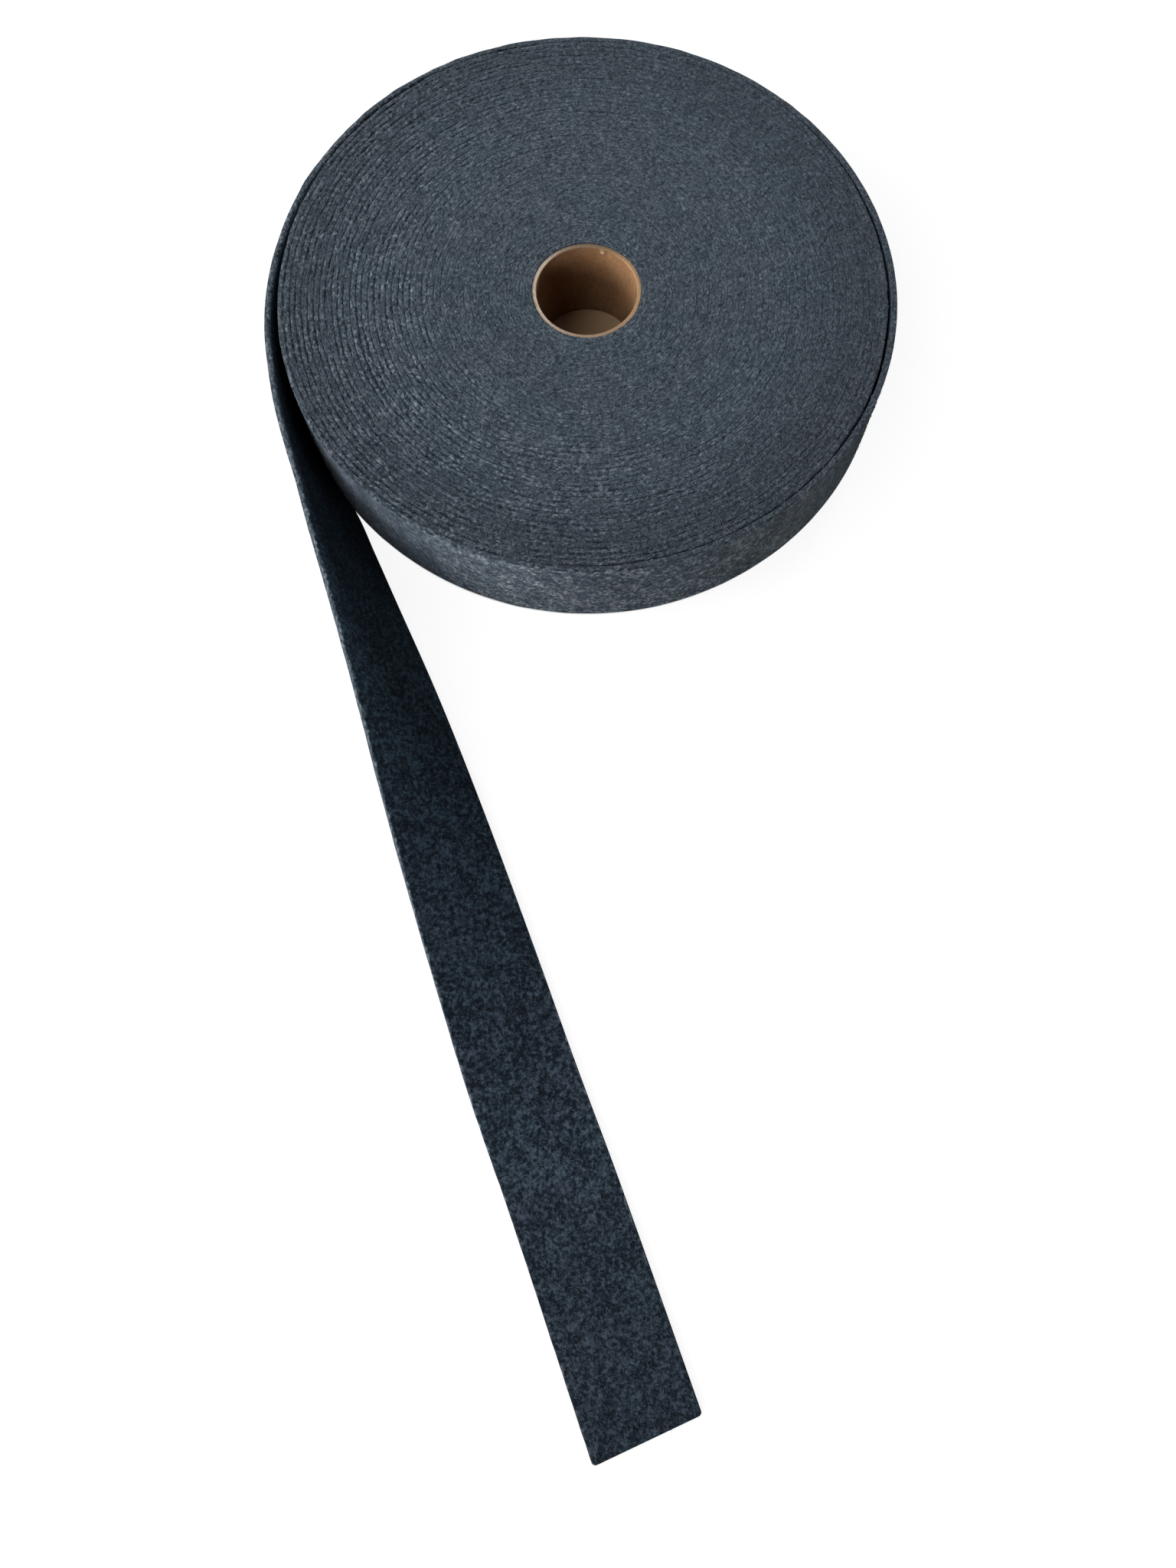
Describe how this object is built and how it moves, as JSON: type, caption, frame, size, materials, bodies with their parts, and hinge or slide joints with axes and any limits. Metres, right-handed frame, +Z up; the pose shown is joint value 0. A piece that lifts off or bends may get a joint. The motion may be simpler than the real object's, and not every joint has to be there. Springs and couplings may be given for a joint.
{
  "type": "roll of felt tree tape",
  "caption": "Roll of flat felt tape wound on a cardboard tube, lying on its flank, with its outer turn slack and its end pulled out, twisting from on edge to flat.",
  "frame": {"origin": "on the surface that the roll lies on, under the middle of the whole part's box, pulled-out end included", "axes": "+Z up along the roll's axis; +Y from the cut end of the tape towards the roll; +X away from the side where the tape leaves the roll"},
  "size_m": [0.3158, 0.6982, 0.0506],
  "materials": {
    "felt": "heathered needled felt, matt",
    "cardboard": "raw brown board, matt"
  },
  "bodies": {
    "root": {"core_tube": "cardboard", "wound_roll": "felt", "loose_end": "felt"}
  },
  "joints": []
}
